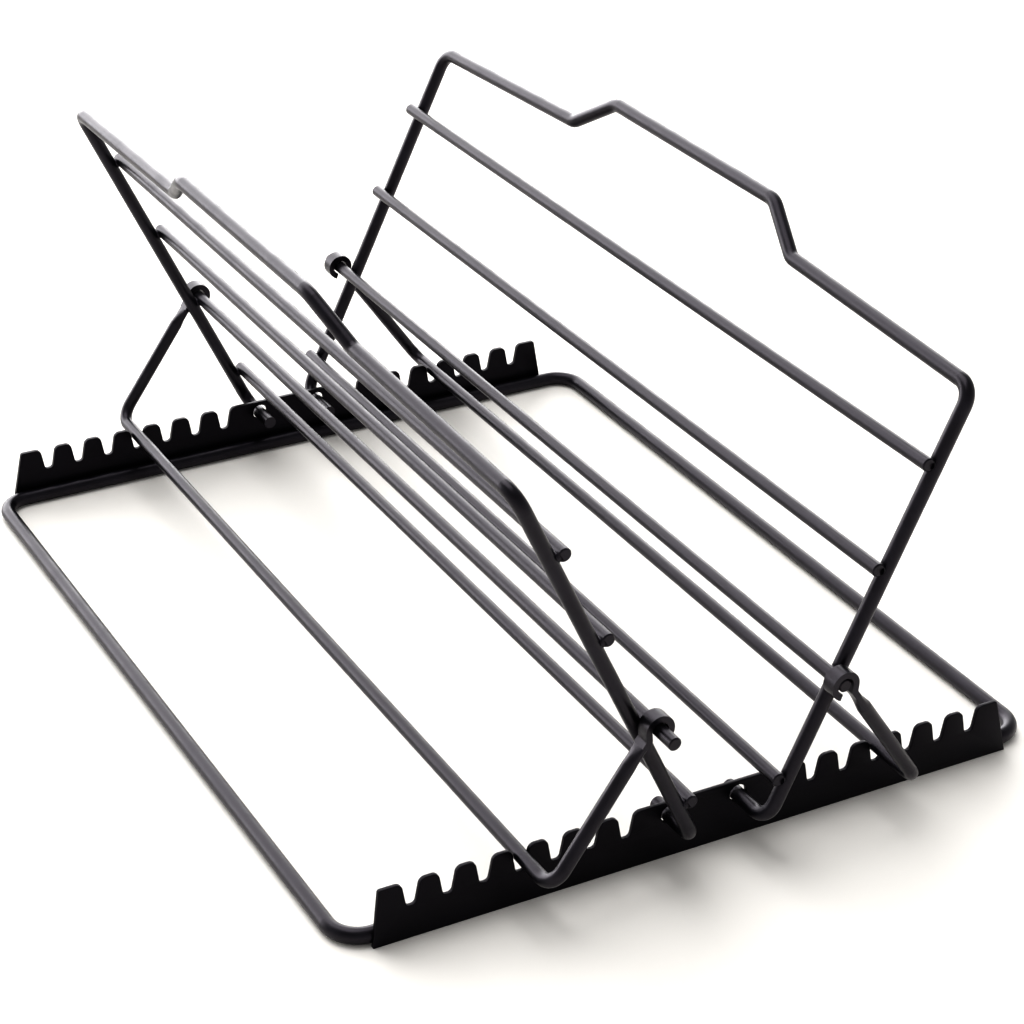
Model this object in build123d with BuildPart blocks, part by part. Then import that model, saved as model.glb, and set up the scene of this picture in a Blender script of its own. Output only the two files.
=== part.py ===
from build123d import *
from math import asin, atan2, cos, degrees, radians, sin
import os

# A folding wire stand that holds an open book: a wire base with a toothed rack at each end, two wire
# leaves hinged at the racks, and two wire props whose cross bars drop into the racks' notches.
# Millimetres. X runs along the racks, Y along the book's spine from front to rear, Z is up.
# The origin is on the table, below the middle of the stand's length.

# Base frame: one round wire bent into a rectangle, lying on the table
base_wire = 5.5             # wire diameter
base_bend = 10.5            # corner radius of the wire's centre line
side_overrun = 13.2         # from a rack's upper end to the side wire's centre line, on average
frame_shift = 2.4           # the racks are welded on this far left of the frame's middle
weld_set = 0.25             # how far two welded pieces sink into each other

# Racks: two flat steel strips on edge, welded outside the frame's end wires
stand_depth = 324.8         # outer face of one rack to outer face of the other
base_shift = 3.0            # the racks' middle is this far behind the origin
rack_thickness = 1.6
rack_height = 21.0
# How far a rack's upper end stands in from its lower end, left and right: each strip is cropped on its own
end_leans = {"front_rack": (2.0, 5.4), "rear_rack": (4.4, 3.8)}
end_tooth = 7.9             # width of the last tooth at its top
end_round = 0.9             # outer top corner of the last tooth
notch_count = 7             # on each half of a rack
notch_pitch = 12.7
first_notch = 29.0          # from the middle to the innermost notch
notch_depth = 8.8           # from a rack's upper edge down to a notch's floor
floor_squeeze = 1.7         # a notch's floor is this much narrower than the prop wire
floor_curve = 0.49          # its corner radius, as a share of the floor's width
mouth_ease = 1.6            # a notch's mouth is this much wider than the prop wire
tooth_round = 2.4           # top corners of the teeth, at most
tooth_curve = 0.4           # and at most this share of a tooth's width

# Leaves: each one bent wire with four rods welded across its book side
leaf_wire = 5.0
leaf_lean = 25.4            # degrees from upright, with the prop in its notch
pivot_offset = 12.9         # from the middle to a leaf's pins
pivot_cover = 1.5           # metal left above a pivot hole
hole_ease = 1.2             # a pivot hole is this much wider than its pin
pin_gap = 0.1               # between a resting pin and the bottom of its hole
pin_reach = 9.9             # how far a pin goes in past the rack's outer face
arm_standoff = 12.3         # from a rack's outer face to the leaf's arm, centre line
leaf_places = {"left": 1.1, "right": -1.2}    # their middles along Y, as the pins slide in the holes
corner_height = 153.4       # from the pins to the top rail's ends, along the leaf
dip_rise = 4.2              # from there up to the rail beside its raised middle
tab_rise = 13.7             # and from there up to the raised middle
tab_width = 105.0           # length of the raised middle
tab_slope = 20.5            # how far each slanted step runs along Y
foot_bend = 6.5             # wire bends, centre line radii
corner_bend = 6.5
dip_bend = 6.0
tab_bend = 9.0

# Rods across a leaf
rod_wire = 4.5
rod_chamfer = 0.4
rod_overhang = 2.0          # past the arm's centre line
axle_overhang = 13.1        # the same for the rod that carries the prop
axle_shifts = {"left": -3.4, "right": 2.6}    # and how far to the rear it is welded on
axle_height = 54.0          # that rod's place along the leaf, from the pins
plain_rods = {"bottom_rod": 15.3, "upper_rod": 90.3, "top_rod": 126.8}

# Props: each one bent wire, with its flattened ends curled round the leaf's axle rod
prop_wire = 4.8
prop_notch = 3              # the notch that the bar rests in, counted from 0 at the middle
prop_bend = 7.0
notch_gap = 0.25            # between the resting bar and the notch's sides
eye_ease = 0.6              # radial room between the axle rod and the eye
eye_strip = 2.2             # thickness of the flattened wire
eye_width = 5.2             # and its width along the rod
eye_round = 0.66            # rounding of its edges
eye_start = -40.0           # degrees from the outer side to where the curl leaves the shoulder
eye_wrap = 255.0            # degrees of curl
shoulder_bend = 2.0
leg_offset = 1.2            # the leg's line passes the axle this far on its outer side
eye_side_gaps = {"left": 0.3, "right": 3.0}    # between a prop and the arm beside it, at its top
bar_overrun = 5.4           # from an arm to the bar's bend, centre lines
flat_length = 7.5           # from the axle down to the end of the flat tongue
taper_length = 7.0          # where flat turns back to round

# Worked out from the sizes above
sides = {"left": -1, "right": 1}
rack_face = stand_depth / 2
floor_width = prop_wire - floor_squeeze
mouth_width = prop_wire + mouth_ease
notches = [first_notch + notch_pitch * count for count in range(notch_count)]
rack_half_top = notches[-1] + mouth_width / 2 + end_tooth
frame_half_width = rack_half_top + side_overrun
frame_half_depth = rack_face - rack_thickness - base_wire / 2 + weld_set
notch_floor = rack_height - notch_depth
hole_radius = (leaf_wire + hole_ease) / 2
pivot_height = rack_height - pivot_cover - hole_radius
pin_height = pivot_height - hole_radius + leaf_wire / 2 + pin_gap
arm_place = rack_face + arm_standoff
dip_height = corner_height + dip_rise
tab_height = dip_height + tab_rise
rod_offset = (leaf_wire + rod_wire) / 2 - weld_set
lean_sin = sin(radians(leaf_lean))
lean_cos = cos(radians(leaf_lean))
flank_angle = atan2((mouth_width - floor_width) / 2, rack_height - notch_floor)
bar_side_room = (prop_wire / 2 + notch_gap) / cos(flank_angle) - floor_width / 2
bar_height = notch_floor + bar_side_room * cos(flank_angle) / sin(flank_angle)
eye_inner = rod_wire / 2 + eye_ease
eye_middle = eye_inner + eye_strip / 2
leg_places = {leaf: arm_place + leaf_wire / 2 + gap + max(eye_width, prop_wire) / 2
              for leaf, gap in eye_side_gaps.items()}
bar_end = arm_place + bar_overrun
shoulder_run = (eye_middle * cos(radians(eye_start)) - leg_offset) / sin(radians(-eye_start))
curl_start = (eye_middle * cos(radians(eye_start)), eye_middle * sin(radians(eye_start)))
shoulder = (leg_offset, curl_start[1] - shoulder_run * cos(radians(eye_start)))

os.makedirs("parts", exist_ok=True)


def save(piece, name):
    piece.part.label = name
    export_step(piece.part, f"parts/{name}.step")
    print(f"{name}: {piece.part.volume / 1000:.2f} cm3")


def across_start(path):
    # The plane of a wire's round section, at the start of its path
    return Plane(origin=path.line @ 0, z_dir=path.line % 0)


def make_base_frame():
    # Front half from one side wire's middle to the other's, then its mirror image behind
    floor = Plane(origin=(frame_shift, base_shift, base_wire / 2))
    with BuildPart() as frame:
        with BuildLine(floor) as path:
            FilletPolyline(
                (-frame_half_width, 0),
                (-frame_half_width, -frame_half_depth),
                (frame_half_width, -frame_half_depth),
                (frame_half_width, 0),
                radius=base_bend,
            )
        with BuildSketch(across_start(path)):
            Circle(base_wire / 2)
        sweep(path=path.line)
        mirror(about=Plane.XZ.offset(-base_shift))
    save(frame, "base_frame")


def rack_outline(left_lean, right_lean):
    # From the lower left end over all the teeth to the lower right end
    points = [(-rack_half_top - left_lean, 0), (-rack_half_top, rack_height)]
    for centre in [-place for place in reversed(notches)] + notches:
        points.append((centre - mouth_width / 2, rack_height))
        points.append((centre - floor_width / 2, notch_floor))
        points.append((centre + floor_width / 2, notch_floor))
        points.append((centre + mouth_width / 2, rack_height))
    return points + [(rack_half_top, rack_height), (rack_half_top + right_lean, 0)]


def make_rack(name, side):
    # side is -1 at the front and 1 at the rear, and the plane is the strip's outer face
    outer_face = Plane.XZ.offset(-(base_shift + side * rack_face))
    corners_at = 0.1
    with BuildPart() as rack:
        with BuildSketch(outer_face) as profile:
            with BuildLine():
                Polyline(*rack_outline(*end_leans[name]), close=True)
            make_face()
            floor_corners = profile.vertices().filter_by_position(
                Axis.Y, notch_floor - corners_at, notch_floor + corners_at)
            fillet(floor_corners, radius=floor_curve * floor_width)
            top_corners = profile.vertices().filter_by_position(
                Axis.Y, rack_height - corners_at, rack_height + corners_at)
            ends = top_corners.sort_by(Axis.X)
            fillet([ends[0], ends[-1]], radius=end_round)
            top_corners = profile.vertices().filter_by_position(
                Axis.Y, rack_height - corners_at, rack_height + corners_at)
            teeth = [v for v in top_corners if abs(v.X) < rack_half_top - end_tooth / 2]
            fillet(teeth, radius=min(tooth_round, tooth_curve * (notch_pitch - mouth_width)))
            with Locations((-pivot_offset, pivot_height), (pivot_offset, pivot_height)):
                Circle(hole_radius, mode=Mode.SUBTRACT)
        extrude(amount=side * rack_thickness)
    save(rack, name)


def leaf_plane(leaf, along=0.0, above=0.0):
    # Local Y runs up the leaf, and Z out of its book side
    side = sides[leaf]
    origin = (
        side * (pivot_offset + along * lean_sin - above * lean_cos),
        leaf_places[leaf],
        pin_height + along * lean_cos + above * lean_sin,
    )
    return Plane(origin=origin, x_dir=(0, -side, 0), z_dir=(-side * lean_cos, 0, lean_sin))


def make_leaf_frame(leaf):
    # Pin, arm, rail end, step up to the raised middle, then the same again mirrored
    half = [
        (rack_face - pin_reach, 0),
        (arm_place, 0),
        (arm_place, corner_height),
        (tab_width / 2 + tab_slope, dip_height),
        (tab_width / 2, tab_height),
    ]
    bends = [foot_bend, corner_bend, dip_bend, tab_bend]
    points = [(-x, y) for x, y in half] + list(reversed(half))
    with BuildPart() as frame:
        with BuildLine(leaf_plane(leaf)) as path:
            FilletPolyline(*points, radius=bends + list(reversed(bends)))
        with BuildSketch(across_start(path)):
            Circle(leaf_wire / 2)
        sweep(path=path.line)
    save(frame, f"{leaf}_leaf_frame")


def make_rod(leaf, name, along, overhang, shift=0.0):
    # A straight rod on the book side of the arms
    reach = arm_place + overhang
    start = leaf_plane(leaf, along, rod_offset).origin - Vector(0, reach - shift, 0)
    with BuildPart() as rod:
        with BuildSketch(Plane(origin=start, z_dir=(0, 1, 0))):
            Circle(rod_wire / 2)
        extrude(amount=2 * reach)
        chamfer(rod.edges().filter_by(GeomType.CIRCLE), length=rod_chamfer)
    save(rod, f"{leaf}_{name}")


def prop_geometry(leaf):
    # The leg's line passes the axle a little on its outer side
    side = sides[leaf]
    axle = leaf_plane(leaf, axle_height, rod_offset).origin
    bar = Vector(side * notches[prop_notch], axle.Y, bar_height)
    to_bar = bar - axle
    turn = asin(leg_offset / to_bar.length)
    slant = atan2(abs(to_bar.X), -to_bar.Z) - turn
    down_leg = Vector(side * sin(slant), 0, -cos(slant))
    outward = Vector(side * cos(slant), 0, sin(slant))
    leg_length = to_bar.length * cos(turn)
    return axle, down_leg, outward, leg_length


def make_prop(leaf):
    axle, down_leg, outward, leg_length = prop_geometry(leaf)
    leg_top = axle + outward * leg_offset
    leg_place = leg_places[leaf]
    # In this plane the legs run along local Y, from the axle down to the bar
    legs = Plane(origin=leg_top, x_dir=(0, sides[leaf], 0), z_dir=-outward)
    round_start = flat_length + taper_length
    with BuildPart() as prop:
        with BuildLine(legs) as path:
            FilletPolyline(
                (-leg_place, round_start),
                (-bar_end, leg_length),
                (bar_end, leg_length),
                (leg_place, round_start),
                radius=prop_bend,
            )
        with BuildSketch(across_start(path)):
            Circle(prop_wire / 2)
        sweep(path=path.line)
        for end in (-1, 1):
            place = Vector(0, end * leg_place, 0)
            line_top = leg_top + place
            leg_way = down_leg * (leg_length - round_start) + Vector(0, end * (bar_end - leg_place), 0)
            # Taper from the round wire to the flat tongue
            with BuildSketch(Plane(line_top + down_leg * round_start, x_dir=(0, 1, 0), z_dir=leg_way)):
                Circle(prop_wire / 2)
            with BuildSketch(Plane(line_top + down_leg * flat_length, x_dir=(0, 1, 0), z_dir=down_leg)):
                RectangleRounded(eye_width, eye_strip, eye_round)
            loft()
            # Tongue, shoulder and curl, drawn across the axle: local X is outward, local Y up the leg
            across = Plane(axle + place, x_dir=outward, z_dir=outward.cross(-down_leg))
            with BuildSketch(across):
                with BuildLine():
                    FilletPolyline((leg_offset, -flat_length), shoulder, curl_start, radius=shoulder_bend)
                    CenterArc((0, 0), eye_middle, eye_start, eye_wrap)
                trace(line_width=eye_strip)
            extrude(amount=eye_width / 2, both=True)
    save(prop, f"{leaf}_prop")


make_base_frame()
make_rack("front_rack", -1)
make_rack("rear_rack", 1)
for leaf_name in sides:
    make_leaf_frame(leaf_name)
    make_rod(leaf_name, "axle_rod", axle_height, axle_overhang, axle_shifts[leaf_name])
    for rod_name, rod_along in plain_rods.items():
        make_rod(leaf_name, rod_name, rod_along, rod_overhang)
    make_prop(leaf_name)

# Where the pieces meet, for whoever poses the stand
axle_point, leg_way, _, leg_span = prop_geometry("right")
leg_angle = degrees(atan2(leg_way.X, -leg_way.Z))
print(f"pins at x {pivot_offset:.2f}, z {pin_height:.2f}; axle at x {axle_point.X:.2f}, z {axle_point.Z:.2f}")
print(f"bar at x {notches[prop_notch]:.2f}, z {bar_height:.2f}")
print(f"legs {leg_span:.1f} long at {leg_angle:.1f} degrees")
print(f"legs' tops at y {leg_places['left']:.2f} and {leg_places['right']:.2f}, arms at {arm_place:.2f}")
print(f"frame {2 * frame_half_width:.1f} by {2 * frame_half_depth:.1f} between centre lines")
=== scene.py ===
import bpy
import math
from mathutils import Matrix, Vector


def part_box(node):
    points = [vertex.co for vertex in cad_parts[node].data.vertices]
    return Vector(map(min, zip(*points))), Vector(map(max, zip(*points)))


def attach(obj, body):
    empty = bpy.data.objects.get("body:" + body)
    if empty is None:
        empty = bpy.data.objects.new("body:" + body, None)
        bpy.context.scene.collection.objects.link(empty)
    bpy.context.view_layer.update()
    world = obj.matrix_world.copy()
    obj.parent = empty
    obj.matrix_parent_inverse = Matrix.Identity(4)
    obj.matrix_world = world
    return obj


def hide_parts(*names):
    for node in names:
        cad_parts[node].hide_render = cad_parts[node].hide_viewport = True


# A folding book stand of black coated steel wire, on a white table

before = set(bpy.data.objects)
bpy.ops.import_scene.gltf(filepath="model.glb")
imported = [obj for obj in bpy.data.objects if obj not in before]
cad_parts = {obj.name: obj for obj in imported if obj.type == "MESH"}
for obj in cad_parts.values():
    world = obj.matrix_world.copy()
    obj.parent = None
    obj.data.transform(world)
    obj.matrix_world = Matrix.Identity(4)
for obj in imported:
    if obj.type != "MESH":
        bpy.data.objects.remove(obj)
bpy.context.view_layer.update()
print("frame loaded:", len(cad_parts), "nodes")

mm = 0.001


def clearSelection():
    if bpy.context.object and bpy.context.object.mode != "OBJECT":
        bpy.ops.object.mode_set(mode="OBJECT")
    bpy.ops.object.select_all(action="DESELECT")


clearSelection()


def linearColour(hexText):
    # sRGB hex to the linear values that a shader wants
    values = []
    for start in (0, 2, 4):
        v = int(hexText[start:start + 2], 16) / 255
        values.append(v / 12.92 if v <= 0.04045 else ((v + 0.055) / 1.055) ** 2.4)
    return (*values, 1.0)


def addNode(tree, kind, settings=None, inputs=None, links=None):
    # settings are the node's own, inputs are socket values, links are {socket: (node, output)}
    node = tree.nodes.new(kind)
    for key, value in (settings or {}).items():
        setattr(node, key, value)
    for key, value in (inputs or {}).items():
        node.inputs[key].default_value = value
    for key, (source, output) in (links or {}).items():
        tree.links.new(source.outputs[output], node.inputs[key])
    return node


# Black epoxy powder coating over bent steel wire: a satin skin with a faint orange peel, uneven gloss,
# and no metal showing
wireCoat = {
    "colour": "09090c",
    "worn": "17171c",       # where the gloss is dull
    "roughness": 0.34,
    "shine": 0.42,          # specular level
    "tint": "f6ecfb",       # of the shine
    "peelSize": 1.6,        # mm from one swell of the skin to the next
    "peelDepth": 0.03,      # mm
    "grainSize": 0.6,       # mm, grit of the powder, coarser than the real one so that it shows
    "patchSize": 9.0,       # mm, uneven gloss
}
# The same powder on the punched strips, laid thicker, so it is smoother and darker
rackCoat = {
    "colour": "050508",
    "worn": "0b0b10",
    "roughness": 0.4,
    "shine": 0.2,
    "tint": "f6ecfb",
    "peelSize": 2.4,
    "peelDepth": 0.03,
    "grainSize": 0.4,
    "patchSize": 14.0,
}
# What every powder coat here shares
powder = {
    "ior": 1.5,
    "bump": 0.6,            # strength of grain and peel
    "grainDepth": 0.02,     # mm
    "glossier": 0.06,       # how far the roughness falls in a bright patch
    "duller": 0.07,         # and rises in a dull one
    "wornPatch": (0.38, 0.68),      # where in the noise the worn colour starts and is full
    "glossPatch": (0.3, 0.7),
}


def powderCoating(name, look):
    material = bpy.data.materials.new(name)
    material.use_nodes = True
    tree = material.node_tree
    shader = tree.nodes["Principled BSDF"]
    place = addNode(tree, "ShaderNodeTexCoord")
    patches = addNode(
        tree, "ShaderNodeTexNoise",
        inputs={"Scale": 1 / (look["patchSize"] * mm), "Detail": 3.0, "Roughness": 0.55},
        links={"Vector": (place, "Object")},
    )
    grain = addNode(
        tree, "ShaderNodeTexNoise",
        inputs={"Scale": 1 / (look["grainSize"] * mm), "Detail": 2.0, "Roughness": 0.6},
        links={"Vector": (place, "Object")},
    )
    peel = addNode(
        tree, "ShaderNodeTexNoise",
        inputs={"Scale": 1 / (look["peelSize"] * mm), "Detail": 2.0, "Roughness": 0.45},
        links={"Vector": (place, "Object")},
    )
    wornFrom, wornTo = powder["wornPatch"]
    shade = addNode(
        tree, "ShaderNodeMapRange",
        inputs={"From Min": wornFrom, "From Max": wornTo, "To Min": 0.0, "To Max": 1.0},
        links={"Value": (patches, "Fac")},
    )
    colour = addNode(
        tree, "ShaderNodeMix",
        settings={"data_type": "RGBA"},
        inputs={"A": linearColour(look["colour"]), "B": linearColour(look["worn"])},
        links={"Factor": (shade, "Result")},
    )
    glossFrom, glossTo = powder["glossPatch"]
    gloss = addNode(
        tree, "ShaderNodeMapRange",
        inputs={"From Min": glossFrom, "From Max": glossTo,
                "To Min": look["roughness"] - powder["glossier"],
                "To Max": look["roughness"] + powder["duller"]},
        links={"Value": (patches, "Fac")},
    )
    fine = addNode(
        tree, "ShaderNodeBump",
        inputs={"Strength": powder["bump"], "Distance": powder["grainDepth"] * mm},
        links={"Height": (grain, "Fac")},
    )
    swell = addNode(
        tree, "ShaderNodeBump",
        inputs={"Strength": powder["bump"], "Distance": look["peelDepth"] * mm},
        links={"Height": (peel, "Fac"), "Normal": (fine, "Normal")},
    )
    tree.links.new(colour.outputs["Result"], shader.inputs["Base Color"])
    tree.links.new(gloss.outputs["Result"], shader.inputs["Roughness"])
    tree.links.new(swell.outputs["Normal"], shader.inputs["Normal"])
    shader.inputs["IOR"].default_value = powder["ior"]
    shader.inputs["Specular IOR Level"].default_value = look["shine"]
    shader.inputs["Specular Tint"].default_value = linearColour(look["tint"])
    return material


wireMaterial = powderCoating("satin black powder coat on wire", wireCoat)
rackMaterial = powderCoating("satin black powder coat on strip", rackCoat)
for nodeName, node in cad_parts.items():
    for place in node.material_slots:
        place.material = rackMaterial if nodeName.endswith("rack") else wireMaterial
print("coatings on")


# Punched strip whose cut edges the powder has rounded
rackEdge = {
    "radius": 0.32,         # mm
    "steps": 3,
    "sharpFrom": 50,        # degrees, the least corner that is rolled
    "mergeWithin": 0.005,   # mm
    "flatWithin": 0.5,      # degrees between triangles of one face
    "smoothTo": 40,         # degrees
}


def roundedRack(nodeName):
    clearSelection()
    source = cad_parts[nodeName]
    source.select_set(True)
    bpy.context.view_layer.objects.active = source
    bpy.ops.object.duplicate()
    rack = bpy.context.object
    rack.name = nodeName + "_rounded"
    rack.parent = None
    bpy.ops.object.mode_set(mode="EDIT")
    bpy.ops.mesh.select_all(action="SELECT")
    bpy.ops.mesh.remove_doubles(threshold=rackEdge["mergeWithin"] * mm)
    bpy.ops.mesh.dissolve_limited(angle_limit=math.radians(rackEdge["flatWithin"]))
    bpy.ops.object.mode_set(mode="OBJECT")
    edge = rack.modifiers.new("rolled edge", "BEVEL")
    edge.width = rackEdge["radius"] * mm
    edge.segments = rackEdge["steps"]
    edge.limit_method = "ANGLE"
    edge.angle_limit = math.radians(rackEdge["sharpFrom"])
    bpy.ops.object.modifier_apply(modifier=edge.name)
    bpy.ops.object.shade_smooth_by_angle(angle=math.radians(rackEdge["smoothTo"]))
    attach(rack, "base")
    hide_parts(nodeName)
    return rack


for nodeName in ("front_rack", "rear_rack"):
    roundedRack(nodeName)
print("racks rounded")


# Each rod is pressed and welded onto the arms, and the powder fills the neck between them
weldLook = {
    "armWire": 5.0,         # mm
    "rodWire": 4.5,         # mm
    "sink": 0.25,           # mm that a rod is pressed into an arm
    "lean": 25.4,           # degrees that a leaf leans out from upright
    "neck": 1.95,           # mm, radius of the neck
    "lip": 0.42,            # mm, from the neck's middle to each lip
    "spread": 1.22,         # how much wider the lip is, along its wire
    "pinch": 0.9,           # and how much narrower across it
    "flare": ((0.95, 0.9), (0.6, 1.3)),     # each ring's height in lips, and its share of the spread
    "sides": 28,
    "smoothTo": 50,         # degrees
}


def makeNeck(place, side):
    # A waisted collar that stands on the arm and holds the rod
    clearSelection()
    bpy.ops.mesh.primitive_cylinder_add(
        vertices=weldLook["sides"], radius=weldLook["neck"] * mm,
        depth=weldLook["lip"] * mm, end_fill_type="NGON")
    neck = bpy.context.object
    bpy.ops.object.mode_set(mode="EDIT")
    bpy.ops.mesh.select_mode(type="FACE")
    alongRod = (weldLook["pinch"], weldLook["spread"], 1)
    alongArm = (weldLook["spread"], weldLook["pinch"], 1)
    for end, widths in ((1, alongRod), (-1, alongArm)):
        for height, share in weldLook["flare"]:
            bpy.ops.mesh.select_all(action="DESELECT")
            bpy.ops.object.mode_set(mode="OBJECT")
            for face in neck.data.polygons:     # only the cap at this end
                face.select = face.normal.z * end > 0.9 and face.center.z * end > 0
            bpy.ops.object.mode_set(mode="EDIT")
            rise = end * height * weldLook["lip"] * mm
            bpy.ops.mesh.extrude_region_move(TRANSFORM_OT_translate={"value": (0, 0, rise)})
            bpy.ops.transform.resize(value=tuple(1 + (width - 1) * share for width in widths))
    bpy.ops.mesh.select_all(action="SELECT")
    bpy.ops.mesh.normals_make_consistent(inside=False)
    bpy.ops.object.mode_set(mode="OBJECT")
    bpy.ops.object.shade_smooth_by_angle(angle=math.radians(weldLook["smoothTo"]))
    # Local Z points out of the leaf's book side and local Y along the rod
    neck.rotation_euler = (0.0, -side * math.radians(90 - weldLook["lean"]), 0.0)
    neck.location = place
    bpy.ops.object.transform_apply(location=True, rotation=True, scale=True)
    return neck


def makeLeafWelds(leaf, side):
    low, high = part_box(leaf + "_leaf_frame")
    armRadius = weldLook["armWire"] * mm / 2
    armPlaces = (low[1] + armRadius, high[1] - armRadius)
    lean = math.radians(weldLook["lean"])
    bookSide = Vector((-side * math.cos(lean), 0, math.sin(lean)))
    # From a rod's middle down to the middle of its weld
    drop = bookSide * (weldLook["rodWire"] - weldLook["sink"]) * mm / 2
    necks = []
    for rodName in ("bottom_rod", "axle_rod", "upper_rod", "top_rod"):
        rodLow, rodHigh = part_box(leaf + "_" + rodName)
        centre = (Vector(rodLow) + Vector(rodHigh)) / 2
        for armPlace in armPlaces:
            necks.append(makeNeck(Vector((centre.x, armPlace, centre.z)) - drop, side))
    clearSelection()
    for neck in necks:
        neck.select_set(True)
    bpy.context.view_layer.objects.active = necks[0]
    bpy.ops.object.join()
    welds = bpy.context.object
    welds.name = leaf + "_leaf_welds"
    welds.data.materials.clear()
    welds.data.materials.append(wireMaterial)
    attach(welds, leaf + "_leaf")
    return welds


makeLeafWelds("left", -1)
makeLeafWelds("right", 1)
print("welds on")


# White laminate, plain and dull
tableLook = {"size": 6.0, "colour": "f6f3ee", "roughness": 0.6}     # size in metres


def makeTable():
    bpy.ops.mesh.primitive_plane_add(size=tableLook["size"], location=(0, 0, 0))
    table = bpy.context.object
    table.name = "table"
    material = bpy.data.materials.new("white laminate table")
    material.use_nodes = True
    shader = material.node_tree.nodes["Principled BSDF"]
    shader.inputs["Base Color"].default_value = linearColour(tableLook["colour"])
    shader.inputs["Roughness"].default_value = tableLook["roughness"]
    table.data.materials.append(material)
    return table


# A white room, brightest low on the wall behind the stand
roomLook = {
    "frontLight": 0.45,     # brightness in front and overhead
    "backLight": 4.2,       # and on the lit wall behind
    "wallFrom": 0.45,       # how far towards the back the wall's light starts, 1 is straight back
    "wallTo": 0.9,          # and is full
    "lowShare": 1.2,        # share of that light low down
    "highShare": 0.72,      # and high up
    "lowBelow": 0.3,        # how far up low ends, 1 is straight up
    "highAbove": 0.65,
}


def makeRoom():
    world = bpy.data.worlds.new("white room")
    bpy.context.scene.world = world
    world.use_nodes = True
    tree = world.node_tree
    background = tree.nodes["Background"]
    background.inputs["Color"].default_value = (1.0, 1.0, 1.0, 1.0)
    place = addNode(tree, "ShaderNodeTexCoord")
    split = addNode(tree, "ShaderNodeSeparateXYZ", links={"Vector": (place, "Generated")})
    wall = addNode(
        tree, "ShaderNodeMapRange",
        settings={"interpolation_type": "SMOOTHSTEP"},
        inputs={"From Min": roomLook["wallFrom"], "From Max": roomLook["wallTo"],
                "To Min": roomLook["frontLight"], "To Max": roomLook["backLight"]},
        links={"Value": (split, "Y")},
    )
    height = addNode(
        tree, "ShaderNodeMapRange",
        inputs={"From Min": roomLook["lowBelow"], "From Max": roomLook["highAbove"],
                "To Min": roomLook["lowShare"], "To Max": roomLook["highShare"]},
        links={"Value": (split, "Z")},
    )
    strength = addNode(
        tree, "ShaderNodeMath",
        settings={"operation": "MULTIPLY"},
        links={0: (wall, "Result"), 1: (height, "Result")},
    )
    tree.links.new(strength.outputs["Value"], background.inputs["Strength"])


# A square softbox over the stand and a little behind it
panelLook = {"place": (-0.1, 0.35, 1.5), "size": 1.2, "power": 10.0}    # metres and watts


def makePanel():
    light = bpy.data.lights.new("overhead panel", "AREA")
    light.shape = "SQUARE"
    light.size = panelLook["size"]
    light.energy = panelLook["power"]
    panel = bpy.data.objects.new("overhead panel", light)
    bpy.context.collection.objects.link(panel)
    place = Vector(panelLook["place"])
    aim = -place            # at the middle of the table
    turn = aim.to_track_quat("-Z", "Y").to_matrix().to_4x4()
    panel.matrix_world = Matrix.Translation(place) @ turn
    return panel


# A long lens, high on the front left
cameraLook = {
    "place": (-0.4035, -0.7587, 0.5150),    # metres
    "down": 27.11,          # degrees below level
    "turn": 27.19,          # degrees towards +X from +Y
    "sensor": 36.0,         # mm
    "lens": 94.82,          # mm
    "shift": (0.0711, -0.0709),
}


def makeCamera():
    data = bpy.data.cameras.new("camera")
    camera = bpy.data.objects.new("camera", data)
    bpy.context.collection.objects.link(camera)
    data.sensor_width = cameraLook["sensor"]
    data.lens = cameraLook["lens"]
    data.shift_x, data.shift_y = cameraLook["shift"]
    data.clip_start = 0.05
    camera.location = cameraLook["place"]
    camera.rotation_euler = (
        math.radians(90 - cameraLook["down"]), 0.0, math.radians(-cameraLook["turn"]))
    scene = bpy.context.scene
    scene.camera = camera
    scene.view_settings.view_transform = "Standard"
    scene.view_settings.look = "High Contrast"
    return camera


makeTable()
makeRoom()
makePanel()
makeCamera()
print("stage set")
